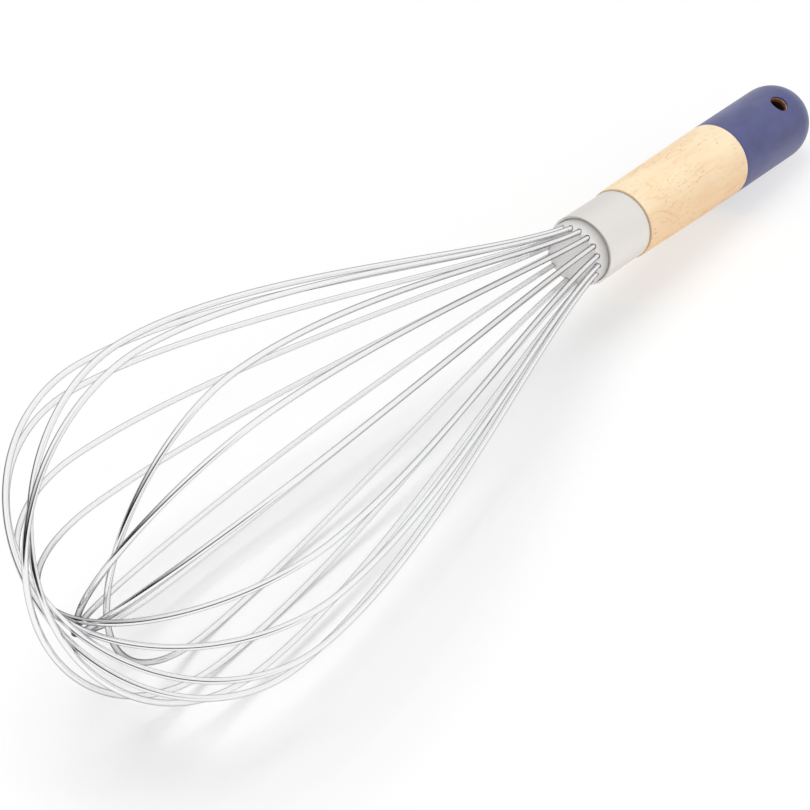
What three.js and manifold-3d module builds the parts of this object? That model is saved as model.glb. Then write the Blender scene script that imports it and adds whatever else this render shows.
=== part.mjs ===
// A balloon whisk: nested wire loops set in a holder, a steel ferrule and a turned wooden handle
// whose butt is dipped in colour and drilled to hang.  Millimetres, +Z up, the whisk lies on a table.
import * as THREE from "three";
import { mergeVertices } from "three/addons/utils/BufferGeometryUtils.js";
import Module from "manifold-3d";

const wasm = await Module();
wasm.setup();

// Wire cage
const wire_diameter = 1.4;
const loop_count = 9;
const first_azimuth = 122.3;      // degrees, plane of the innermost loop
const cage_radius = 40.7;         // wire centre at the widest place
const cage_height = 140.8;        // widest place above the ferrule's front rim
const inner_crown = 176.2;        // crown of the innermost loop above the rim
const crown_gap = 0.08;           // clear space kept where two loops cross
const leg_slope = 10.0;           // degrees, how far the legs splay where they leave the holder
const leg_pull = 0.25;            // how long a leg stays straight
const belly_pull = 0.27;          // how long the belly stays full
// Sprung wire never sits quite true: how far each crown stands off the axis, and how far it is turned
const crown_shift = [-6.5, -2.7, -8.3, -6.2, -6.4, -3.3, -4.1, 0.9, -1.9];
const crown_turn = [-1.1, -0.1, 6.3, 1.4, 3.0, -4.1, 0.1, -7.2, 0.4];

// Ferrule
const ferrule_radius = 9.95;
const ferrule_wall = 0.6;
const ferrule_length = 18.6;
const ferrule_lip = 0.25;         // rounding of its rims

// Wire holder and the resin behind it
const holder_front = 3.7;         // how far the holder stands out of the ferrule
const holder_depth = 6.0;         // how far it reaches inside
const holder_round = 2.2;         // rounding of its shoulder
const holder_clearance = 0.2;
const entry_radius = 8.0;         // wire centres where the legs leave the holder
const wire_clearance = 0.25;
const resin_depth = 6.0;
const tail_depth = 11.0;          // how far the wire tails reach behind the rim
const seat_gap = 0.3;             // left between faces that meet

// Handle and its dipped butt
const wood_front_radius = 10.35;
const wood_back_radius = 11.25;
const wood_round = 0.5;
const coat_start = 67.3;          // where the colour begins, behind the rim
const coat_thickness = 0.6;
const coat_clearance = 0.15;
const butt_radius = 11.5;
const butt_centre = 99.1;         // centre of the domed end, behind the rim
const hole_place = 93.7;          // hanging hole, behind the rim
const hole_radius = 2.75;
const hole_azimuth = 107.0;       // degrees

// Lying on the table
const rest_azimuth = -53.5;       // degrees, the side of the whisk that faces the table

// How finely curves are cut
const turns = 36;
const wire_sides = 8;
const wire_steps = 52;

const wire_radius = wire_diameter / 2;
const ferrule_bore = ferrule_radius - ferrule_wall;
const insert_radius = ferrule_bore - holder_clearance;
const slope = Math.tan(THREE.MathUtils.degToRad(leg_slope));
const resin_front = -holder_depth - seat_gap;
const resin_back = resin_front - resin_depth;
const tenon_front = resin_back - seat_gap;
const shoulder = -ferrule_length - seat_gap;

// Solid bodies

function solid(geometry) {
  const bare = new THREE.BufferGeometry();
  bare.setAttribute("position", geometry.getAttribute("position").clone());
  if (geometry.index) {
    bare.setIndex(geometry.index.clone());
  }
  const merged = mergeVertices(bare, 1e-4);
  const mesh = new wasm.Mesh({
    numProp: 3,
    vertProperties: new Float32Array(merged.getAttribute("position").array),
    triVerts: new Uint32Array(merged.index.array),
  });
  mesh.merge();
  return new wasm.Manifold(mesh);
}

function surface(body) {
  const mesh = body.getMesh();
  const geometry = new THREE.BufferGeometry();
  geometry.setAttribute("position", new THREE.BufferAttribute(new Float32Array(mesh.vertProperties), 3));
  geometry.setIndex(new THREE.BufferAttribute(new Uint32Array(mesh.triVerts), 1));
  geometry.computeVertexNormals();
  return geometry;
}

// A body turned about the whisk's axis from pairs of radius and place along it, tip end last.
function turned(profile) {
  const points = profile.map(([radius, place]) => new THREE.Vector2(Math.max(radius, 0), place));
  const geometry = new THREE.LatheGeometry(points, turns);
  geometry.rotateX(Math.PI / 2);
  return geometry;
}

function arc(centre_radius, centre_place, radius, from, to, count) {
  const points = [];
  for (let i = 0; i <= count; i += 1) {
    const angle = THREE.MathUtils.degToRad(from + ((to - from) * i) / count);
    points.push([centre_radius + radius * Math.cos(angle), centre_place + radius * Math.sin(angle)]);
  }
  return points;
}

// A straight round bar between two points, used to drill.
function drill(from, to, radius, sides) {
  const length = from.distanceTo(to);
  const geometry = new THREE.CylinderGeometry(radius, radius, length, sides);
  const along = to.clone().sub(from).normalize();
  geometry.applyQuaternion(new THREE.Quaternion().setFromUnitVectors(new THREE.Vector3(0, 1, 0), along));
  const middle = from.clone().add(to).multiplyScalar(0.5);
  geometry.translate(middle.x, middle.y, middle.z);
  return solid(geometry);
}

function cut(geometry, tools) {
  let body = solid(geometry);
  for (const tool of tools) {
    body = body.subtract(tool);
  }
  return surface(body);
}

// Wire loops

// Radius of a leg, and its height, from its tail to the widest place.
function leg(along, widest) {
  const rise = widest - holder_front;
  const start = new THREE.Vector2(entry_radius, holder_front);
  const curve = new THREE.CubicBezierCurve(
    start,
    new THREE.Vector2(entry_radius + slope * rise * leg_pull, holder_front + rise * leg_pull),
    new THREE.Vector2(cage_radius, widest - rise * belly_pull),
    new THREE.Vector2(cage_radius, widest),
  );
  return curve.getPoint(along);
}

// Centre line of one loop: a tail, a leg, the crown, the other leg and its tail.
function loop_line(index, crown) {
  const widest = cage_height + (crown - inner_crown) / 2;
  const half = [];
  const tail_rise = holder_front + tail_depth;
  for (let i = 0; i < 3; i += 1) {
    const place = -tail_depth + (tail_rise * i) / 3;
    half.push([entry_radius + slope * (place - holder_front), place]);
  }
  for (let i = 0; i < 24; i += 1) {
    const point = leg(i / 24, widest);
    half.push([point.x, point.y]);
  }
  for (let i = 0; i < 18; i += 1) {
    const angle = (Math.PI / 2) * (i / 18);
    half.push([cage_radius * Math.cos(angle), widest + (crown - widest) * Math.sin(angle)]);
  }
  const other = half.map(([radius, place]) => [-radius, place]).reverse();
  const azimuth = THREE.MathUtils.degToRad(first_azimuth - (index * 180) / loop_count);
  const turn = THREE.MathUtils.degToRad(crown_turn[index % crown_turn.length]);
  const shift = crown_shift[index % crown_shift.length];
  const points = [...half, [0, crown], ...other].map(([radius, place]) => {
    const share = Math.max((place - holder_front) / (crown - holder_front), 0);
    const angle = azimuth + turn * share;
    const aside = shift * share * share;
    return new THREE.Vector3(
      radius * Math.cos(angle) - aside * Math.sin(azimuth),
      radius * Math.sin(angle) + aside * Math.cos(azimuth),
      place,
    );
  });
  return new THREE.CatmullRomCurve3(points, false, "centripetal");
}

function nearest(points, others) {
  let least = Infinity;
  for (const point of points) {
    for (const other of others) {
      least = Math.min(least, point.distanceToSquared(other));
    }
  }
  return Math.sqrt(least);
}

// Each loop is slipped over the ones before it and pulled out until it clears them all.
function nested_loops() {
  const loops = [];
  const laid = [];
  for (let index = 0; index < loop_count; index += 1) {
    let crown = inner_crown;
    let line = loop_line(index, crown);
    let points = line.getSpacedPoints(420);
    while (laid.some((others) => nearest(points, others) < wire_diameter + crown_gap) && crown < 2 * inner_crown) {
      crown += 0.15;
      line = loop_line(index, crown);
      points = line.getSpacedPoints(420);
    }
    loops.push(line);
    laid.push(points);
  }
  return loops;
}

function wire(line) {
  const round = new THREE.Shape();
  for (let i = 0; i <= wire_sides; i += 1) {
    const angle = (2 * Math.PI * i) / wire_sides;
    const x = wire_radius * Math.cos(angle);
    const y = wire_radius * Math.sin(angle);
    if (i === 0) {
      round.moveTo(x, y);
    } else {
      round.lineTo(x, y);
    }
  }
  return new THREE.ExtrudeGeometry(round, { steps: wire_steps, extrudePath: line, bevelEnabled: false });
}

// The straight drilling that each leg runs through, from behind its tail to in front of the holder.
function leg_drills() {
  const drills = [];
  for (let i = 0; i < 2 * loop_count; i += 1) {
    const azimuth = THREE.MathUtils.degToRad(first_azimuth + (i * 180) / loop_count);
    const at = (place) => {
      const radius = entry_radius + slope * (place - holder_front);
      return new THREE.Vector3(radius * Math.cos(azimuth), radius * Math.sin(azimuth), place);
    };
    drills.push(drill(at(-tail_depth - seat_gap), at(holder_front + 2 * wire_diameter), wire_radius + wire_clearance, 10));
  }
  return drills;
}

// Pieces in the whisk's own frame: the ferrule's front rim at 0 and the tip up the +Z axis

const loops = nested_loops();
const drills = leg_drills();

const holder = cut(turned([
  [0, -holder_depth],
  [insert_radius - ferrule_lip, -holder_depth],
  [insert_radius, -holder_depth + ferrule_lip],
  ...arc(insert_radius - holder_round, holder_front - holder_round, holder_round, 0, 90, 6),
  [0, holder_front],
]), drills);

const resin = cut(turned([
  [0, resin_back],
  [insert_radius, resin_back],
  [insert_radius, resin_front],
  [0, resin_front],
]), drills);

const ferrule = turned([
  [ferrule_bore, -ferrule_length],
  [ferrule_radius - ferrule_lip, -ferrule_length],
  [ferrule_radius, -ferrule_length + ferrule_lip],
  [ferrule_radius, -ferrule_lip],
  [ferrule_radius - ferrule_lip, 0],
  [ferrule_bore, 0],
  [ferrule_bore, -ferrule_length],
]);

const hole_turn = THREE.MathUtils.degToRad(hole_azimuth);
const hole_reach = 2 * butt_radius;
const hole_way = new THREE.Vector3(Math.cos(hole_turn), Math.sin(hole_turn), 0);
const hole_middle = new THREE.Vector3(0, 0, -hole_place);
const hole_from = hole_middle.clone().addScaledVector(hole_way, -hole_reach);
const hole_to = hole_middle.clone().addScaledVector(hole_way, hole_reach);
const hanging_hole = drill(hole_from, hole_to, hole_radius, 24);

const core_inset = coat_thickness + coat_clearance;
const handle = cut(turned([
  ...arc(0, -butt_centre, butt_radius - core_inset, -90, 0, 9),
  [wood_back_radius - core_inset, -coat_start - seat_gap / 2],
  [wood_back_radius, -coat_start + seat_gap / 2],
  [(wood_front_radius + wood_back_radius) / 2 + 0.1, (shoulder - coat_start) / 2],
  [wood_front_radius, shoulder - wood_round],
  [wood_front_radius - wood_round, shoulder],
  [insert_radius, shoulder],
  [insert_radius, tenon_front - wood_round],
  [insert_radius - wood_round, tenon_front],
  [0, tenon_front],
]), [hanging_hole]);

const coat = cut(turned([
  ...arc(0, -butt_centre, butt_radius, -90, 0, 9),
  [wood_back_radius, -coat_start - seat_gap / 2],
  [wood_back_radius - coat_thickness, -coat_start - seat_gap],
  ...arc(0, -butt_centre, butt_radius - coat_thickness, 0, -90, 9),
]), [hanging_hole]);

// Materials

const steel = new THREE.MeshStandardMaterial({ color: 0xd8d9da, roughness: 0.18, metalness: 1 });
const satin = new THREE.MeshStandardMaterial({ color: 0xdad8d4, roughness: 0.38, metalness: 1 });
const grey = new THREE.MeshStandardMaterial({ color: 0xc4c2c1, roughness: 0.5, metalness: 0 });
const amber = new THREE.MeshStandardMaterial({ color: 0xb89a66, roughness: 0.4, metalness: 0 });
const wood = new THREE.MeshStandardMaterial({ color: 0xe9c99c, roughness: 0.6, metalness: 0 });
const blue = new THREE.MeshStandardMaterial({ color: 0x5f6288, roughness: 0.42, metalness: 0 });

const whisk = new THREE.Group();

function add(name, geometry, material) {
  const mesh = new THREE.Mesh(geometry, material);
  mesh.name = name;
  whisk.add(mesh);
}

add("handle", handle, wood);
add("dip_coat", coat, blue);
add("ferrule", ferrule, satin);
add("wire_holder", holder, grey);
add("anchor_resin", resin, amber);
loops.forEach((line, index) => add(`wire_loop_${index + 1}`, wire(line), steel));

// Laying the whisk on the table: it tips until the butt touches and rolls until two wires do

function lying(roll, lean) {
  const down = new THREE.Vector3(Math.cos(roll), Math.sin(roll), 0);
  const tip = new THREE.Vector3(0, 0, 1);
  const up = down.clone().multiplyScalar(-Math.cos(lean)).addScaledVector(tip, Math.sin(lean));
  const back = tip.clone().multiplyScalar(-Math.cos(lean)).addScaledVector(down, -Math.sin(lean));
  const side = up.clone().cross(back);
  return new THREE.Matrix4().makeBasis(back, side, up).transpose();
}

function lowest(matrix, mesh) {
  let low = new THREE.Vector3(0, 0, Infinity);
  const point = new THREE.Vector3();
  const places = mesh.geometry.getAttribute("position");
  for (let i = 0; i < places.count; i += 1) {
    point.fromBufferAttribute(places, i).applyMatrix4(matrix);
    if (point.z < low.z) {
      low = point.clone();
    }
  }
  return low;
}

const wires = whisk.children.filter((mesh) => mesh.name.startsWith("wire_loop"));
const butt_coat = whisk.getObjectByName("dip_coat");
let roll = THREE.MathUtils.degToRad(rest_azimuth);
let lean = Math.asin((cage_radius - butt_radius) / (cage_height + butt_centre));
for (let round = 0; round < 40; round += 1) {
  const matrix = lying(roll, lean);
  const feet = wires.map((mesh) => lowest(matrix, mesh)).sort((a, b) => a.z - b.z);
  const butt = lowest(matrix, butt_coat);
  lean += (butt.z - feet[0].z) / (butt.x - feet[0].x);
  roll -= (0.6 * (feet[1].z - feet[0].z)) / (feet[1].y - feet[0].y);
}
const laid = lying(roll, lean);
const box = new THREE.Box3();
for (const mesh of whisk.children) {
  mesh.geometry.applyMatrix4(laid);
  mesh.geometry.computeBoundingBox();
  box.union(mesh.geometry.boundingBox);
}
const middle = box.getCenter(new THREE.Vector3());
whisk.position.set(-middle.x, -middle.y, -box.min.z);

export default whisk;
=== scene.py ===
"""A balloon whisk on a pale table: sprung wire loops, steel ferrule, wooden handle with a dipped butt."""
import math

import bmesh
import bpy
import numpy as np
from mathutils import Matrix, Vector


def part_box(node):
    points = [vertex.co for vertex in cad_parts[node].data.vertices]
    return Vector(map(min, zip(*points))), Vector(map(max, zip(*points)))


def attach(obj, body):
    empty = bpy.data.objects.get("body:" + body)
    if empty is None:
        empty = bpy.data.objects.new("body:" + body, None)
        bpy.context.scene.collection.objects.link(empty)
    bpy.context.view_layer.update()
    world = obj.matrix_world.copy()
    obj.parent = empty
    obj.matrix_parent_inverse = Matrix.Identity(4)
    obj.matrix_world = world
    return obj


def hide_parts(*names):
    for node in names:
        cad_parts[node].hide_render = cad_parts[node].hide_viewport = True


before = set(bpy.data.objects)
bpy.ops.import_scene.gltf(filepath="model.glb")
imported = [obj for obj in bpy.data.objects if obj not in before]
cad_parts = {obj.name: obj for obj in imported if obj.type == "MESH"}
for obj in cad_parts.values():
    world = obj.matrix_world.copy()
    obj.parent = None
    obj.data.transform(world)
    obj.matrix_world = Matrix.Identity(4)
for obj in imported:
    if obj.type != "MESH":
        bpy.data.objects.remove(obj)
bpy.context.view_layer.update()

bl_info = {
    "name": "Balloon whisk",
    "version": (1, 0, 0),
    "blender": (4, 5, 0),
    "location": "3D View > Sidebar > Whisk",
    "description": "Builds a wire whisk with a turned wooden handle on its packed solids",
    "category": "Add Mesh",
}

LOOPS = 9
OWN_FRAME = "whisk_frame"
WHITE = (1.0, 1.0, 1.0, 1.0)
BLACK = (0.0, 0.0, 0.0, 1.0)

# How far each crown stands aside from its loop's plane, in millimetres, and its turn in degrees
CROWN_SHIFT = (-6.5, -2.7, -8.3, -6.2, -6.4, -3.3, -4.1, 0.9, -1.9)
CROWN_TURN = (-1.1, -0.1, 6.3, 1.4, 3.0, -4.1, 0.1, -7.2, 0.4)

# Crown heights in metres between which a loop's own is sought, and how often that span is halved
CROWN_LOW = 0.15
CROWN_HIGH = 0.25
CROWN_HALVINGS = 40

# Points along a tail, a leg and half a bow of a coarse wire line
TAIL_POINTS = 4
LEG_POINTS = 40
BOW_POINTS = 30

# A point of a turning profile nearer than this to the axis, in metres, lies on it
ON_AXIS = 1e-7

# The room that polished steel mirrors: spans of direction over which its dark side comes and goes
WALL_PAST_TIP = (0.25, -0.35)
WALL_FOOT = (0.0, 0.03)
WALL_TOP = (0.3, 0.75)
SIDE_SPAN = (0.2, 0.95)
SIDE_SHARE = 0.2
WALL_TINT = (0.02, 0.02, 0.022, 1.0)

# Name, place in metres, side in metres and power in watts of each soft lamp
LAMPS = (
    ("key_softbox", (0.1, 0.25, 1.6), 1.2, 12.8),
    ("front_softbox", (-1.2, -0.9, 0.8), 1.0, 6.0),
    ("side_softbox", (0.5, -1.4, 0.6), 1.0, 2.5),
)


# Sizes, colours and stage

def length(name, millimetres, description):
    """A size in metres whose default is written in millimetres."""
    return bpy.props.FloatProperty(
        name=name, description=description, default=millimetres / 1000, unit="LENGTH", precision=5)


def angle(name, degrees, description):
    """An angle whose default is written in degrees."""
    return bpy.props.FloatProperty(
        name=name, description=description, default=math.radians(degrees), subtype="ANGLE")


def share(name, default, description):
    """A number from 0 to 1."""
    return bpy.props.FloatProperty(
        name=name, description=description, default=default, subtype="FACTOR", min=0.0, max=1.0)


def spot(name, default, description):
    """A point in metres."""
    return bpy.props.FloatVectorProperty(
        name=name, description=description, default=default, size=3, subtype="XYZ", unit="LENGTH")


def screen_to_linear(value):
    """A screen colour value from 0 to 1 as a linear one."""
    if value <= 0.04045:
        return value / 12.92
    return ((value + 0.055) / 1.055) ** 2.4


def colour(name, red, green, blue, description):
    """A colour whose default is written in screen values from 0 to 255."""
    linear = [screen_to_linear(value / 255) for value in (red, green, blue)]
    return bpy.props.FloatVectorProperty(
        name=name, description=description, default=linear, subtype="COLOR", size=3, min=0.0, max=1.0)


class WhiskSizes(bpy.types.PropertyGroup):
    """Sizes of the whisk in its own frame: the ferrule's front rim at 0 and the tip up the Z axis."""

    wire_diameter: length("Wire diameter", 1.4, "Thickness of the sprung wire")
    first_azimuth: angle("First loop", 122.3, "Plane of the innermost loop about the axis")
    cage_radius: length("Cage radius", 40.7, "Wire centre at the widest place")
    cage_height: length("Cage height", 140.8, "Widest place above the ferrule's front rim")
    inner_crown: length("Inner crown", 176.2, "Crown of a loop whose widest place is at the cage height")
    leg_slope: angle("Leg slope", 10.0, "Splay of the legs where they leave the holder")
    leg_pull: share("Leg pull", 0.25, "How long a leg stays straight")
    belly_pull: share("Belly pull", 0.27, "How long the belly stays full")
    tail_depth: length("Tail depth", 11.0, "Reach of the wire tails behind the rim")
    entry_radius: length("Entry radius", 8.0, "Wire centres where the legs leave the holder")
    ferrule_radius: length("Ferrule radius", 9.95, "Outer radius of the steel sleeve")
    ferrule_wall: length("Ferrule wall", 0.6, "Thickness of the steel sleeve")
    ferrule_length: length("Ferrule length", 18.6, "Length of the steel sleeve")
    ferrule_lip: length("Ferrule lip", 0.25, "Rounding of the sleeve's rims")
    holder_front: length("Holder front", 3.7, "How far the holder stands out of the ferrule")
    holder_depth: length("Holder depth", 6.0, "How far the holder reaches inside")
    holder_round: length("Holder rounding", 2.2, "Rounding of the holder's shoulder")
    holder_clearance: length("Holder clearance", 0.2, "Gap between the sleeve and what goes into it")
    hole_play: length("Leg hole play", 0.12, "Gap between a wire and its drilled hole")
    drill_overrun: length("Drill overrun", 3.0, "How far a leg's drill runs past the holder")
    tenon_front: length("Tenon front", 12.6, "Front of the handle's tenon, behind the rim")
    shoulder: length("Handle shoulder", 18.9, "Where the handle meets the ferrule, behind the rim")
    wood_front: length("Wood front radius", 10.35, "Radius of the handle at the ferrule")
    wood_back: length("Wood back radius", 11.25, "Radius of the handle where the colour begins")
    wood_swell: length("Wood swell", 0.1, "Fullness of the bare wood at half its length")
    wood_edge: length("Wood edge", 0.5, "Rounding of the handle's shoulder and tenon")
    border_depth: length("Border depth", 0.08, "Depth of the wood's broken edge at the coat")
    border_width: length("Border width", 0.1, "Width of the wood's broken edge at the coat")
    coat_start: length("Coat start", 67.3, "Where the colour begins, behind the rim")
    coat_thickness: length("Coat thickness", 0.6, "Thickness of the colour coat")
    coat_gap: length("Coat gap", 0.05, "Gap between the coat and the wood")
    coat_edge: length("Coat edge", 0.2, "Rounding of the coat's border")
    butt_radius: length("Butt radius", 11.5, "Radius of the domed end")
    butt_centre: length("Butt centre", 99.1, "Centre of the domed end, behind the rim")
    hole_place: length("Hole place", 93.7, "Hanging hole, behind the rim")
    hole_radius: length("Hole radius", 2.75, "Radius of the hanging hole")
    hole_relief: length("Hole relief", 0.08, "How much wider the hanging hole is in the coat")
    hole_azimuth: angle("Hole azimuth", 107.0, "Direction of the hanging hole about the axis")
    rest_roll: angle("Rest roll", -42.06, "Side of the whisk that faces the table")
    rest_lean: angle("Rest lean", 7.082, "How far the axis rises towards the tip")


class WhiskColours(bpy.types.PropertyGroup):
    """Colours of the whisk's finishes."""

    wood_light: colour("Wood", 255, 234, 199, "Pale sanded wood")
    # The darker wood also serves as painted shade on the handle's side that faces the table
    wood_dark: colour("Wood streaks", 236, 189, 137, "Darker growth streaks of the wood")
    wood_fleck: colour("Wood flecks", 194, 148, 100, "Fine pores of the wood")
    wood_inside: colour("Wood in the hole", 198, 126, 68, "Bare wood at the mouth of the hanging hole")
    # Painted shade, not scorching: the dark of the wood deep in the hanging hole and of the thin line at the
    # ferrule
    wood_painted_shade: colour("Scorched wood", 34, 19, 12, "Wood deep in the hole, browned by the drill")
    coat: colour("Dipped coat", 80, 84, 132, "Satin colour of the butt")
    coat_deep: colour("Dipped coat, deep", 70, 73, 119, "Darker clouding of the coat")
    ferrule: colour("Ferrule", 235, 232, 228, "Satin steel of the sleeve")
    holder: colour("Holder", 249, 246, 244, "Moulded grey plug")
    # Painted shade, not grime: darkens the holder's shoulder and the crease at the ferrule
    holder_painted_shade: colour("Grime", 88, 84, 80, "What gathers between plug and ferrule")
    wire: colour("Wire", 246, 246, 247, "Polished steel wire")
    resin: colour("Resin", 184, 154, 102, "Cast resin behind the plug")


class WhiskStage(bpy.types.PropertyGroup):
    """Camera, floor and soft light."""

    camera_place: spot("Camera place", (0.00725, 0.33458, 0.35091), "Camera in the whisk's own frame")
    camera_pitch: angle("Camera pitch", 50.97, "Angle between the line of sight and the whisk's axis")
    camera_roll: angle("Camera roll", -55.39, "Turn of the picture about the line of sight")
    camera_lens: bpy.props.FloatProperty(
        name="Lens", description="Focal length in millimetres", default=80.0, min=1.0)
    camera_sensor: bpy.props.FloatProperty(
        name="Sensor", description="Width of the sensor in millimetres", default=36.0, min=1.0)
    floor_size: length("Floor size", 6000.0, "Side of the square floor")
    floor_colour: colour("Floor", 254, 254, 254, "Pale table")
    floor_lift: share("Floor lift", 0.05, "How far the table is lifted to white at its floor centre")
    floor_centre: spot("Floor centre", (-0.125, -0.01, 0.0), "Place on the table that is lifted least")
    floor_near: length("Near floor", 40.0, "Distance from there at which the table begins to turn white")
    floor_far: length("Far floor", 380.0, "Distance from there at which the table is all white")
    sky_strength: bpy.props.FloatProperty(
        name="Sky strength", description="Soft light from all round", default=0.5, min=0.0)


def sizes():
    """The sizes that the scene holds."""
    return bpy.context.scene.whisk_sizes


def colours():
    """The colours that the scene holds."""
    return bpy.context.scene.whisk_colours


# Shader graphs

class Link:
    """A shader socket that can be used in sums."""

    def __init__(self, graph, socket):
        self.graph = graph
        self.socket = socket

    def maths(self, operation, first, second):
        return self.graph.node("ShaderNodeMath", {"operation": operation}, {0: first, 1: second})

    def __add__(self, other):
        return self.maths("ADD", self, other)

    def __radd__(self, other):
        return self.maths("ADD", other, self)

    def __sub__(self, other):
        return self.maths("SUBTRACT", self, other)

    def __rsub__(self, other):
        return self.maths("SUBTRACT", other, self)

    def __mul__(self, other):
        return self.maths("MULTIPLY", self, other)

    def __rmul__(self, other):
        return self.maths("MULTIPLY", other, self)


class Graph:
    """The nodes of one material or of the world."""

    def __init__(self, tree):
        self.tree = tree
        tree.nodes.clear()

    def node(self, kind, settings=None, inputs=None, output=0):
        """Adds a node, sets it up, feeds its sockets and returns one of its outputs, if it has any."""
        made = self.tree.nodes.new(kind)
        for name, value in (settings or {}).items():
            setattr(made, name, value)
        for key, value in (inputs or {}).items():
            socket = made.inputs[key]
            if isinstance(value, Link):
                self.tree.links.new(value.socket, socket)
            else:
                socket.default_value = value
        return Link(self, made.outputs[output]) if made.outputs else None

    def place(self):
        """Points of the piece in the whisk's own frame."""
        return self.node("ShaderNodeAttribute", {"attribute_name": OWN_FRAME}, None, "Vector")

    def part(self, vector, axis):
        """A vector's part along one axis: 0 for X, 1 for Y, 2 for Z."""
        return self.node("ShaderNodeSeparateXYZ", None, {0: vector}, axis)

    def height(self):
        """Height of the piece's points up the whisk's axis."""
        return self.part(self.place(), 2)

    def stretched(self, across, along):
        """The piece's points with one count to the metre across the whisk's axis and another along it."""
        return self.node("ShaderNodeMapping", {"vector_type": "POINT"}, {
            "Vector": self.place(), "Scale": (across, across, along)})

    def noise(self, across, along, detail=2.0, roughness=0.5, distortion=0.0):
        """Noise with such counts to the metre across and along the axis."""
        return self.node("ShaderNodeTexNoise", None, {
            "Vector": self.stretched(across, along), "Scale": 1.0,
            "Detail": detail, "Roughness": roughness, "Distortion": distortion})

    def ramp(self, value, low, high):
        """A value mapped to run from 0 to 1 between two levels."""
        return self.node("ShaderNodeMapRange", {"clamp": True}, {
            "Value": value, "From Min": low, "From Max": high, "To Min": 0.0, "To Max": 1.0})

    def mix(self, factor, first, second):
        """One colour mixed into another."""
        return self.node("ShaderNodeMix", {"data_type": "RGBA"}, {0: factor, 6: first, 7: second}, output=2)

    def blend(self, factor, first, second):
        """One shader mixed into another."""
        return self.node("ShaderNodeMixShader", None, {0: factor, 1: first, 2: second})

    def bump(self, height, distance, strength):
        """A normal tilted by a height."""
        return self.node("ShaderNodeBump", None, {
            "Height": height, "Distance": distance, "Strength": strength})

    def ray(self, kind):
        """1 for rays of one kind, such as Camera or Glossy."""
        return self.node("ShaderNodeLightPath", output=f"Is {kind} Ray")

    def seen(self):
        """1 for rays from the camera, from a mirror or through glass, 0 for rays that carry light."""
        return self.ramp(self.ray("Camera") + self.ray("Glossy") + self.ray("Transmission"), 0.0, 1.0)

    def background(self, tint, strength):
        """Light from the world."""
        return self.node("ShaderNodeBackground", None, {"Color": tint, "Strength": strength})

    def surface(self, inputs):
        """Ends a material in one shader."""
        shader = self.node("ShaderNodeBsdfPrincipled", None, inputs)
        self.node("ShaderNodeOutputMaterial", None, {"Surface": shader})


def solid(tint):
    """A colour with its alpha."""
    return (*tint, 1.0)


def darker(tint, amount):
    """A colour scaled towards black, with its alpha."""
    return solid(value * amount for value in tint)


def material(name):
    """A new node material and its graph."""
    made = bpy.data.materials.new(name)
    made.use_nodes = True
    return made, Graph(made.node_tree)


# Finishes

def wood_finish():
    """Pale close-grained wood: long soft streaks, fine dark pores, a sanded surface, with painted shade on
    the side that faces the table and a thin line of painted shade at the ferrule.
    """
    made, graph = material("turned_wood")
    tints = colours()
    streak = graph.ramp(graph.noise(420.0, 40.0, detail=3.0, roughness=0.55, distortion=0.8), 0.45, 0.7)
    cloud = graph.ramp(graph.noise(85.0, 45.0, distortion=0.6), 0.38, 0.7)
    growth = graph.noise(60.0, 17.0, distortion=1.1)
    figure = graph.ramp(graph.node("ShaderNodeMath", {"operation": "SINE"}, {0: 85.0 * growth}), 0.35, 1.0)
    # Painted shade: the wood darkens towards the handle's side that faces the table
    table_side_shade = graph.ramp(graph.part(graph.place(), 0), -0.001, 0.011)
    ground = graph.mix(
        0.16 * streak + 0.2 * cloud + 0.3 * figure * cloud + 0.55 * table_side_shade,
        solid(tints.wood_light), solid(tints.wood_dark))
    pores = graph.ramp(graph.noise(2700.0, 520.0, detail=1.0, distortion=0.3), 0.62, 0.72)
    patches = graph.ramp(graph.noise(130.0, 70.0, detail=1.0), 0.42, 0.6)
    flecked = graph.mix(0.55 * pores * patches, ground, solid(tints.wood_fleck))
    shoulder = -sizes().shoulder
    # Painted shade: a thin dark line on the wood's rounded edge where it meets the ferrule
    joint_shade = graph.ramp(graph.height(), shoulder - 0.00028, shoulder - 0.0001)
    grain = graph.noise(1800.0, 160.0, detail=3.0, roughness=0.6)
    graph.surface({
        "Base Color": graph.mix(0.3 * joint_shade, flecked, solid(tints.wood_painted_shade)),
        "Roughness": 0.46 + 0.12 * grain,
        "Specular IOR Level": 0.4,
        "Normal": graph.bump(grain - 0.6 * pores, 0.00006, 0.35),
    })
    return made


def hole_finish():
    """Bare drilled wood inside the hanging hole, paler at its mouth and turned dark further in by painted
    shade.
    """
    made, graph = material("drilled_wood")
    tints = colours()
    fibre = graph.noise(1500.0, 500.0, detail=3.0, roughness=0.6)
    outward = graph.node(
        "ShaderNodeVectorMath", {"operation": "LENGTH"}, {0: graph.stretched(1.0, 0.0)}, "Value")
    rim = sizes().butt_radius
    # Painted shade: the hole's wall turns dark away from its mouth
    mouth = graph.ramp(outward + 0.0008 * fibre, rim - 0.0017, rim + 0.0003)
    graph.surface({
        "Base Color": graph.mix(mouth, solid(tints.wood_painted_shade), solid(tints.wood_inside)),
        "Roughness": 0.6 + 0.15 * fibre,
        "Normal": graph.bump(fibre, 0.0001, 0.6),
    })
    return made


def coat_finish():
    """Satin dipped colour: faint clouding and the slight unevenness of a dried coat."""
    made, graph = material("dipped_colour")
    tints = colours()
    cloud = graph.ramp(graph.noise(130.0, 90.0, detail=3.0, roughness=0.6), 0.35, 0.7)
    peel = graph.noise(700.0, 600.0)
    graph.surface({
        "Base Color": graph.mix(cloud, solid(tints.coat), solid(tints.coat_deep)),
        "Roughness": 0.36 + 0.06 * cloud + 0.05 * peel,
        "Specular IOR Level": 0.4,
        "Coat Weight": 0.12,
        "Coat Roughness": 0.25,
        "Normal": graph.bump(peel, 0.00008, 0.25),
    })
    return made


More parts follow.
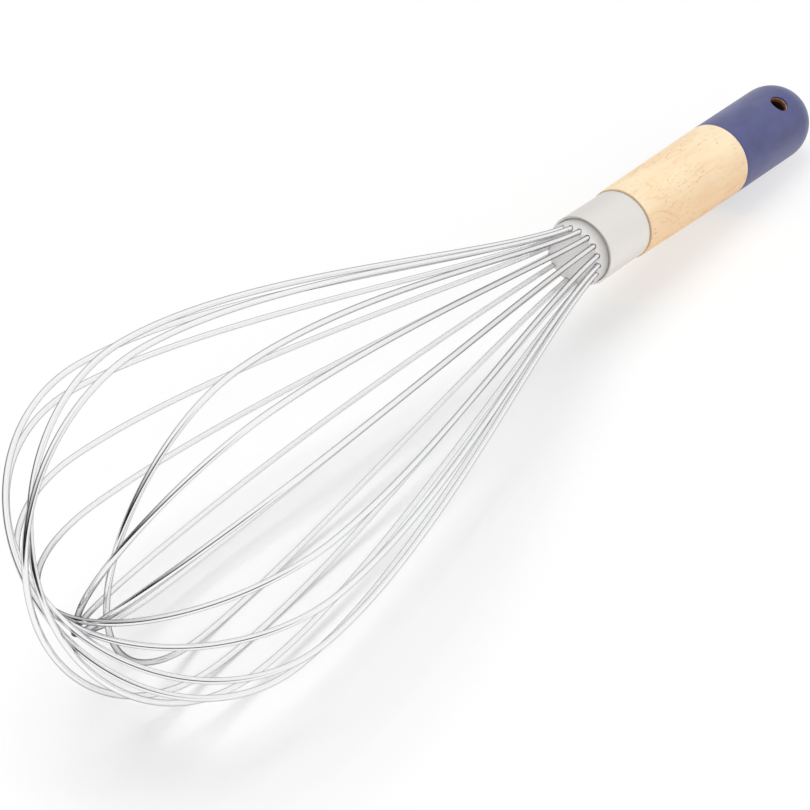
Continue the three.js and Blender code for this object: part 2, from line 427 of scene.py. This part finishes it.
def ferrule_finish():
    """Satin steel with the fine rings of its polishing."""
    made, graph = material("satin_steel")
    rings = graph.noise(60.0, 9000.0, roughness=0.6)
    smear = graph.noise(120.0, 60.0)
    graph.surface({
        "Base Color": solid(colours().ferrule),
        "Metallic": 1.0,
        "Roughness": 0.36 + 0.1 * rings + 0.08 * smear,
        "Normal": graph.bump(rings, 0.00002, 0.3),
    })
    return made


def holder_finish():
    """Smooth moulded plug, with painted shade over its shoulder and in the crease at the ferrule."""
    made, graph = material("moulded_grey")
    tints = colours()
    speck = graph.noise(1400.0, 1400.0)
    ground = graph.mix(graph.ramp(speck, 0.3, 0.75), solid(tints.holder), darker(tints.holder, 0.94))
    front = sizes().holder_front
    # Painted shade over the holder's shoulder and in the crease at the ferrule
    shoulder = graph.ramp(graph.height(), front - 0.0001, front - 0.0011)
    crease = graph.ramp(graph.height(), front, 0.0005)
    graph.surface({
        "Base Color": graph.mix(0.16 * shoulder + 0.42 * crease, ground, solid(tints.holder_painted_shade)),
        "Roughness": 0.45 + 0.12 * speck,
        "Normal": graph.bump(speck, 0.00004, 0.3),
    })
    return made


def wire_finish():
    """Polished steel wire with faint drawing lines along it and dark edges."""
    made, graph = material("polished_wire")
    drawn = graph.noise(900.0, 90.0)
    worn = graph.ramp(graph.noise(160.0, 160.0), 0.45, 0.75)
    graph.surface({
        "Base Color": solid(colours().wire),
        "Metallic": 1.0,
        "Specular Tint": BLACK,
        "Roughness": 0.09 + 0.05 * worn + 0.04 * drawn,
        "Normal": graph.bump(drawn, 0.00001, 0.15),
    })
    return made


def resin_finish():
    """Cast resin with small bubbles."""
    made, graph = material("cast_resin")
    tints = colours()
    place = graph.node("ShaderNodeTexCoord", output="Object")
    bubbles = graph.node("ShaderNodeTexVoronoi", None, {"Vector": place, "Scale": 900.0})
    graph.surface({
        "Base Color": graph.mix(graph.ramp(bubbles, 0.1, 0.6), darker(tints.resin, 0.7), solid(tints.resin)),
        "Roughness": 0.4 + 0.2 * bubbles,
    })
    return made


# Meshes

def whisk_place():
    """Matrix from the whisk's own frame to the table's: it lies on two wires and its butt."""
    size = sizes()
    down = Vector((math.cos(size.rest_roll), math.sin(size.rest_roll), 0.0))
    tip = Vector((0.0, 0.0, 1.0))
    up = -down * math.cos(size.rest_lean) + tip * math.sin(size.rest_lean)
    back = -tip * math.cos(size.rest_lean) - down * math.sin(size.rest_lean)
    turn = Matrix((back, up.cross(back), up))
    low, high = (Vector(corner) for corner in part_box("ferrule"))
    rim = (low + high) / 2 + turn @ Vector((0.0, 0.0, size.ferrule_length / 2))
    return Matrix.Translation(rim) @ turn.to_4x4()


def rounded(radius_place, height_place, radius, start, stop, steps):
    """Points of an arc in a turning profile, as radius and height, between two angles in degrees."""
    points = []
    for step in range(steps + 1):
        turn = math.radians(start + (stop - start) * step / steps)
        points.append((radius_place + radius * math.cos(turn), height_place + radius * math.sin(turn)))
    return points


def turned(name, profile, segments=144):
    """A mesh turned about the whisk's axis from a profile that starts and ends on it, or closes on itself."""
    shape = bmesh.new()
    rings = []
    for radius, height in profile:
        if radius < ON_AXIS:
            rings.append([shape.verts.new((0.0, 0.0, height))])
            continue
        ring = []
        for step in range(segments):
            turn = 2 * math.pi * step / segments
            ring.append(shape.verts.new((radius * math.cos(turn), radius * math.sin(turn), height)))
        rings.append(ring)
    pairs = list(zip(rings, rings[1:]))
    if len(rings[0]) > 1 and len(rings[-1]) > 1:
        pairs.append((rings[-1], rings[0]))
    for lower, upper in pairs:
        for step in range(segments):
            nxt = (step + 1) % segments
            if len(lower) == 1:
                shape.faces.new((lower[0], upper[nxt], upper[step]))
            elif len(upper) == 1:
                shape.faces.new((lower[step], lower[nxt], upper[0]))
            else:
                shape.faces.new((lower[step], lower[nxt], upper[nxt], upper[step]))
    bmesh.ops.recalc_face_normals(shape, faces=shape.faces)
    return piece_from(name, shape)


def piece_from(name, shape):
    """An object made from a bmesh, linked to the scene."""
    mesh = bpy.data.meshes.new(name)
    shape.to_mesh(mesh)
    shape.free()
    made = bpy.data.objects.new(name, mesh)
    bpy.context.scene.collection.objects.link(made)
    return made


def bar(name, start, stop, radius, segments):
    """A straight round bar between two points, for drilling."""
    shape = bmesh.new()
    along = stop - start
    turn = along.to_track_quat("Z", "Y").to_matrix().to_4x4()
    bmesh.ops.create_cone(
        shape, cap_ends=True, segments=segments, radius1=radius, radius2=radius, depth=along.length,
        matrix=Matrix.Translation((start + stop) / 2) @ turn)
    return piece_from(name, shape)


def carve(piece, tools, inside=None):
    """Cuts tools out of a piece. Walls of the cut take the tools' material where one is given."""
    for tool in tools:
        if inside is not None:
            tool.data.materials.append(inside)
        cut = piece.modifiers.new("cut", "BOOLEAN")
        cut.operation = "DIFFERENCE"
        cut.solver = "EXACT"
        cut.material_mode = "TRANSFER"
        cut.object = tool
    bpy.context.view_layer.update()
    shaped = piece.evaluated_get(bpy.context.evaluated_depsgraph_get())
    mesh = bpy.data.meshes.new_from_object(shaped)
    piece.modifiers.clear()
    old = piece.data
    piece.data = mesh
    mesh.name = piece.name
    bpy.data.meshes.remove(old)
    for tool in tools:
        bpy.data.objects.remove(tool, do_unlink=True)


def smooth(piece, degrees=32.0):
    """Smooth shading that keeps edges sharper than an angle."""
    mesh = piece.data
    mesh.polygons.foreach_set("use_smooth", [True] * len(mesh.polygons))
    mesh.set_sharp_from_angle(angle=math.radians(degrees))
    mesh.update()


def settle(piece, node):
    """Puts a finished piece on the table for its solid, and keeps its own-frame points for its finish."""
    mesh = piece.data
    own = np.empty(3 * len(mesh.vertices), dtype=np.float32)
    mesh.vertices.foreach_get("co", own)
    mesh.attributes.new(OWN_FRAME, "FLOAT_VECTOR", "POINT").data.foreach_set("vector", own)
    mesh.transform(whisk_place())
    mesh.update()
    bpy.context.view_layer.update()
    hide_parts(node)
    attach(piece, "root")


def bore_fit():
    """Radius of what goes into the ferrule."""
    size = sizes()
    return size.ferrule_radius - size.ferrule_wall - size.holder_clearance


def leg_azimuth(index):
    """Direction of a loop's plane about the axis."""
    return sizes().first_azimuth - index * math.pi / LOOPS


def loop_line(index, crown, fine=1):
    """Centre line of one loop in the whisk's own frame: tail, leg, crown, leg and tail."""
    size = sizes()
    slope = math.tan(size.leg_slope)
    widest = size.cage_height + (crown - size.inner_crown) / 2
    rise = widest - size.holder_front
    tail = np.linspace(-size.tail_depth, size.holder_front, TAIL_POINTS * fine, endpoint=False)
    tail_radius = size.entry_radius + slope * (tail - size.holder_front)
    t = np.linspace(0.0, 1.0, LEG_POINTS * fine, endpoint=False)
    controls = np.array((
        (size.entry_radius, size.holder_front),
        (size.entry_radius + slope * rise * size.leg_pull, size.holder_front + rise * size.leg_pull),
        (size.cage_radius, widest - rise * size.belly_pull),
        (size.cage_radius, widest),
    ))
    weights = np.stack(((1 - t) ** 3, 3 * t * (1 - t) ** 2, 3 * t ** 2 * (1 - t), t ** 3), axis=1)
    leg = weights @ controls
    bow = np.linspace(0.0, math.pi / 2, BOW_POINTS * fine, endpoint=False)
    radius = np.concatenate((tail_radius, leg[:, 0], size.cage_radius * np.cos(bow), (0.0,)))
    height = np.concatenate((tail, leg[:, 1], widest + (crown - widest) * np.sin(bow), (crown,)))
    radius = np.concatenate((radius, -radius[-2::-1]))
    height = np.concatenate((height, height[-2::-1]))
    climb = np.maximum((height - size.holder_front) / (crown - size.holder_front), 0.0)
    plane = leg_azimuth(index)
    turn = plane + math.radians(CROWN_TURN[index]) * climb
    aside = CROWN_SHIFT[index] / 1000 * climb ** 2
    return np.stack((
        radius * np.cos(turn) - aside * math.sin(plane),
        radius * np.sin(turn) + aside * math.cos(plane),
        height,
    ), axis=1)


def crown_of(index):
    """Crown height at which a loop reaches as far as its solid does."""
    place = np.array(whisk_place())
    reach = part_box(f"wire_loop_{index + 1}")[0][0] + sizes().wire_diameter / 2
    low = CROWN_LOW
    high = CROWN_HIGH
    for _ in range(CROWN_HALVINGS):
        crown = (low + high) / 2
        line = loop_line(index, crown) @ place[:3, :3].T + place[:3, 3]
        if line[:, 0].min() > reach:
            low = crown
        else:
            high = crown
    return (low + high) / 2


def tube(name, line, radius, sides=20):
    """A round wire along a line, carried without twist, with flat closed ends."""
    points = [Vector(point) for point in line]
    ways = [(after - before).normalized() for before, after in zip(points, points[1:])]
    ways.append(ways[-1])
    across = ways[0].orthogonal().normalized()
    shape = bmesh.new()
    rings = []
    for point, way in zip(points, ways):
        across = (across - way * across.dot(way)).normalized()
        beside = way.cross(across)
        ring = []
        for step in range(sides):
            turn = 2 * math.pi * step / sides
            ring.append(shape.verts.new(point + radius * (across * math.cos(turn) + beside * math.sin(turn))))
        rings.append(ring)
    for first, second in zip(rings, rings[1:]):
        for step in range(sides):
            nxt = (step + 1) % sides
            shape.faces.new((first[step], first[nxt], second[nxt], second[step]))
    shape.faces.new(rings[0][::-1])
    shape.faces.new(rings[-1])
    bmesh.ops.recalc_face_normals(shape, faces=shape.faces)
    return piece_from(name, shape)


def hanging_drill(extra):
    """The drill for the hanging hole, wider by a little where asked."""
    size = sizes()
    way = Vector((math.cos(size.hole_azimuth), math.sin(size.hole_azimuth), 0.0)) * 2 * size.butt_radius
    middle = Vector((0.0, 0.0, -size.hole_place))
    return bar("hanging_drill", middle - way, middle + way, size.hole_radius + extra, segments=64)


# Pieces

class WHISK_OT_wires(bpy.types.Operator):
    """Bends the nested wire loops"""

    bl_idname = "whisk.wires"
    bl_label = "Wire loops"

    def execute(self, context):
        finish = wire_finish()
        for index in range(LOOPS):
            line = loop_line(index, crown_of(index), fine=2)
            piece = tube(f"wire_{index + 1}", line, sizes().wire_diameter / 2)
            piece.data.materials.append(finish)
            smooth(piece, degrees=60.0)
            settle(piece, f"wire_loop_{index + 1}")
        return {"FINISHED"}


class WHISK_OT_holder(bpy.types.Operator):
    """Moulds the plug that holds the wire legs and drills it"""

    bl_idname = "whisk.holder"
    bl_label = "Wire holder"

    def execute(self, context):
        size = sizes()
        radius = bore_fit()
        edge = size.ferrule_lip
        corner = size.holder_round
        profile = [(0.0, -size.holder_depth)]
        profile.append((radius - edge, -size.holder_depth))
        profile.append((radius, -size.holder_depth + edge))
        profile += rounded(radius - corner, size.holder_front - corner, corner, 0, 90, steps=14)
        profile.append((0.0, size.holder_front))
        piece = turned("holder", profile)
        piece.data.materials.append(holder_finish())
        carve(piece, [self.leg_drill(leg) for leg in range(2 * LOOPS)])
        smooth(piece, degrees=30.0)
        settle(piece, "wire_holder")
        return {"FINISHED"}

    def leg_drill(self, leg):
        """The drill for one leg, which runs past both faces of the holder."""
        size = sizes()
        azimuth = leg_azimuth(leg)
        ends = []
        for height in (-size.holder_depth - size.drill_overrun, size.holder_front + size.drill_overrun):
            reach = size.entry_radius + math.tan(size.leg_slope) * (height - size.holder_front)
            ends.append(Vector((reach * math.cos(azimuth), reach * math.sin(azimuth), height)))
        return bar(f"drill_{leg}", *ends, size.wire_diameter / 2 + size.hole_play, segments=24)


class WHISK_OT_ferrule(bpy.types.Operator):
    """Rolls the steel sleeve with its rounded rims"""

    bl_idname = "whisk.ferrule"
    bl_label = "Ferrule"

    def execute(self, context):
        size = sizes()
        outer = size.ferrule_radius
        inner = outer - size.ferrule_wall
        back = -size.ferrule_length
        lip = size.ferrule_lip
        rings = 12
        profile = [(inner, back), (outer - lip, back)]
        profile += rounded(outer - lip, back + lip, lip, -90, 0, steps=5)[1:]
        for ring in range(1, rings):
            profile.append((outer, back + lip + (size.ferrule_length - 2 * lip) * ring / rings))
        profile += rounded(outer - lip, -lip, lip, 0, 90, steps=5)
        profile.append((inner, 0.0))
        piece = turned("ferrule_sleeve", profile)
        piece.data.materials.append(ferrule_finish())
        smooth(piece)
        settle(piece, "ferrule")
        return {"FINISHED"}


class WHISK_OT_handle(bpy.types.Operator):
    """Turns the wooden handle and drills its hanging hole"""

    bl_idname = "whisk.handle"
    bl_label = "Handle"

    def execute(self, context):
        size = sizes()
        edge = size.wood_edge
        under_coat = size.coat_thickness + size.coat_gap
        tenon = bore_fit()
        rings = 20
        profile = rounded(0.0, -size.butt_centre, size.butt_radius - under_coat, -90, 0, steps=24)
        profile[0] = (0.0, profile[0][1])
        profile.append((size.wood_back - under_coat, -size.coat_start))
        profile.append((size.wood_back - size.border_depth, -size.coat_start))
        profile.append((size.wood_back, -size.coat_start + size.border_width))
        bare = size.coat_start - size.shoulder - edge
        for ring in range(1, rings):
            way = ring / rings
            swell = size.wood_swell * math.sin(math.pi * way)
            radius = size.wood_back + (size.wood_front - size.wood_back) * way + swell
            profile.append((radius, -size.coat_start + bare * way))
        profile += rounded(size.wood_front - edge, -size.shoulder - edge, edge, 0, 90, steps=6)
        profile.append((tenon, -size.shoulder))
        profile.append((tenon, -size.tenon_front - edge))
        profile.append((tenon - edge, -size.tenon_front))
        profile.append((0.0, -size.tenon_front))
        piece = turned("handle_wood", profile)
        piece.data.materials.append(wood_finish())
        carve(piece, [hanging_drill(0.0)], hole_finish())
        smooth(piece)
        settle(piece, "handle")
        return {"FINISHED"}


class WHISK_OT_coat(bpy.types.Operator):
    """Dips the butt in colour"""

    bl_idname = "whisk.coat"
    bl_label = "Dipped coat"

    def execute(self, context):
        size = sizes()
        edge = size.coat_edge
        border = -size.coat_start - size.coat_gap
        rings = 12
        profile = rounded(0.0, -size.butt_centre, size.butt_radius, -90, 0, steps=32)
        profile[0] = (0.0, profile[0][1])
        straight = size.butt_centre - size.coat_start - edge
        for ring in range(1, rings):
            way = ring / rings
            radius = size.butt_radius + (size.wood_back - size.butt_radius) * way
            profile.append((radius, -size.butt_centre + straight * way))
        profile += rounded(size.wood_back - edge, border - edge, edge, 0, 90, steps=5)
        profile.append((size.wood_back - size.coat_thickness, border))
        inner = rounded(0.0, -size.butt_centre, size.butt_radius - size.coat_thickness, 0, -90, steps=24)
        inner[-1] = (0.0, inner[-1][1])
        profile += inner
        piece = turned("dipped_butt", profile)
        piece.data.materials.append(coat_finish())
        carve(piece, [hanging_drill(size.hole_relief)])
        smooth(piece)
        settle(piece, "dip_coat")
        return {"FINISHED"}


class WHISK_OT_resin(bpy.types.Operator):
    """Finishes the hidden resin that locks the wire tails"""

    bl_idname = "whisk.resin"
    bl_label = "Anchor resin"

    def execute(self, context):
        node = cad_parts["anchor_resin"]
        node.data.materials.clear()
        node.data.materials.append(resin_finish())
        return {"FINISHED"}


# Stage

class WHISK_OT_stage(bpy.types.Operator):
    """Sets the pale floor, the soft lamps, the world and the camera"""

    bl_idname = "whisk.stage"
    bl_label = "Stage"

    def execute(self, context):
        scene = context.scene
        scene.view_settings.view_transform = "Standard"
        self.make_floor(scene)
        self.make_world(scene)
        self.make_lamps(scene)
        self.make_camera(scene)
        return {"FINISHED"}

    def make_floor(self, scene):
        """A matt table that turns white away from the tip, where it is seen, and keeps the shadow."""
        stage = scene.whisk_stage
        shape = bmesh.new()
        bmesh.ops.create_grid(shape, x_segments=8, y_segments=8, size=stage.floor_size / 2)
        floor = piece_from("floor", shape)
        made, graph = material("pale_table")
        matt = graph.node("ShaderNodeBsdfPrincipled", None, {
            "Base Color": solid(stage.floor_colour), "Roughness": 0.9, "Specular IOR Level": 0.1})
        glow = graph.node("ShaderNodeEmission", None, {"Color": WHITE, "Strength": 1.0})
        place = graph.node("ShaderNodeTexCoord", output="Object")
        away = graph.node(
            "ShaderNodeVectorMath", {"operation": "DISTANCE"}, {0: place, 1: stage.floor_centre}, "Value")
        outer = graph.ramp(away, stage.floor_near, stage.floor_far)
        white = stage.floor_lift + (1.0 - stage.floor_lift) * outer
        table = graph.blend(white * graph.seen(), matt, glow)
        graph.node("ShaderNodeOutputMaterial", None, {"Surface": table})
        floor.data.materials.append(made)

    def make_world(self, scene):
        """Soft light all round, white behind the whisk, and a room with a dark side in mirrors."""
        world = bpy.data.worlds.new("studio")
        world.use_nodes = True
        scene.world = world
        graph = Graph(world.node_tree)
        way = graph.node("ShaderNodeTexCoord", output="Generated")
        height = graph.part(way, 2)
        band = graph.ramp(height, *WALL_FOOT) - graph.ramp(height, *WALL_TOP)
        wall = graph.ramp(graph.part(way, 0), *WALL_PAST_TIP) * band
        shade = wall + SIDE_SHARE * graph.ramp(graph.part(way, 1), *SIDE_SPAN)
        soft = graph.background(WHITE, scene.whisk_stage.sky_strength)
        mirrored = graph.background(graph.mix(shade, WHITE, WALL_TINT), 1.0)
        room = graph.blend(graph.ray("Glossy"), soft, mirrored)
        straight = graph.ramp(graph.ray("Camera") + graph.ray("Transmission"), 0.0, 1.0)
        both = graph.blend(straight, room, graph.background(WHITE, 1.0))
        graph.node("ShaderNodeOutputWorld", None, {"Surface": both})

    def make_lamps(self, scene):
        """Square soft lamps that face the whisk and don't show in mirrors."""
        for name, place, side, power in LAMPS:
            lamp = bpy.data.lights.new(name, "AREA")
            lamp.shape = "SQUARE"
            lamp.size = side
            lamp.energy = power
            stand = bpy.data.objects.new(name, lamp)
            scene.collection.objects.link(stand)
            stand.location = place
            stand.visible_glossy = False
            stand.rotation_euler = (-Vector(place)).to_track_quat("-Z", "Y").to_euler()

    def make_camera(self, scene):
        """The photograph's camera, placed from the whisk."""
        stage = scene.whisk_stage
        forward = Vector((0.0, -math.sin(stage.camera_pitch), -math.cos(stage.camera_pitch)))
        level = Vector((1.0, 0.0, 0.0))
        below = forward.cross(level)
        right = level * math.cos(stage.camera_roll) + below * math.sin(stage.camera_roll)
        upward = -forward.cross(right)
        axes = Matrix((right, upward, -forward)).transposed().to_4x4()
        lens = bpy.data.cameras.new("photo_camera")
        lens.sensor_width = stage.camera_sensor
        lens.lens = stage.camera_lens
        lens.clip_start = 0.01
        camera = bpy.data.objects.new("photo_camera", lens)
        scene.collection.objects.link(camera)
        camera.matrix_world = whisk_place() @ Matrix.Translation(Vector(stage.camera_place)) @ axes
        scene.camera = camera


# Panel and registration

class WHISK_PT_panel(bpy.types.Panel):
    """Lists the steps that build the whisk"""

    bl_idname = "WHISK_PT_panel"
    bl_label = "Whisk"
    bl_space_type = "VIEW_3D"
    bl_region_type = "UI"
    bl_category = "Whisk"

    def draw(self, context):
        for operator in OPERATORS:
            self.layout.operator(operator.bl_idname)


OPERATORS = (
    WHISK_OT_stage,
    WHISK_OT_wires,
    WHISK_OT_holder,
    WHISK_OT_ferrule,
    WHISK_OT_handle,
    WHISK_OT_coat,
    WHISK_OT_resin,
)
CLASSES = (WhiskSizes, WhiskColours, WhiskStage, *OPERATORS, WHISK_PT_panel)


def register():
    for item in CLASSES:
        bpy.utils.register_class(item)
    bpy.types.Scene.whisk_sizes = bpy.props.PointerProperty(type=WhiskSizes)
    bpy.types.Scene.whisk_colours = bpy.props.PointerProperty(type=WhiskColours)
    bpy.types.Scene.whisk_stage = bpy.props.PointerProperty(type=WhiskStage)


def unregister():
    del bpy.types.Scene.whisk_stage
    del bpy.types.Scene.whisk_colours
    del bpy.types.Scene.whisk_sizes
    for item in reversed(CLASSES):
        bpy.utils.unregister_class(item)


def main():
    register()
    bpy.ops.whisk.stage()
    bpy.ops.whisk.wires()
    bpy.ops.whisk.holder()
    bpy.ops.whisk.ferrule()
    bpy.ops.whisk.handle()
    bpy.ops.whisk.coat()
    bpy.ops.whisk.resin()


if __name__ == "__main__":
    main()
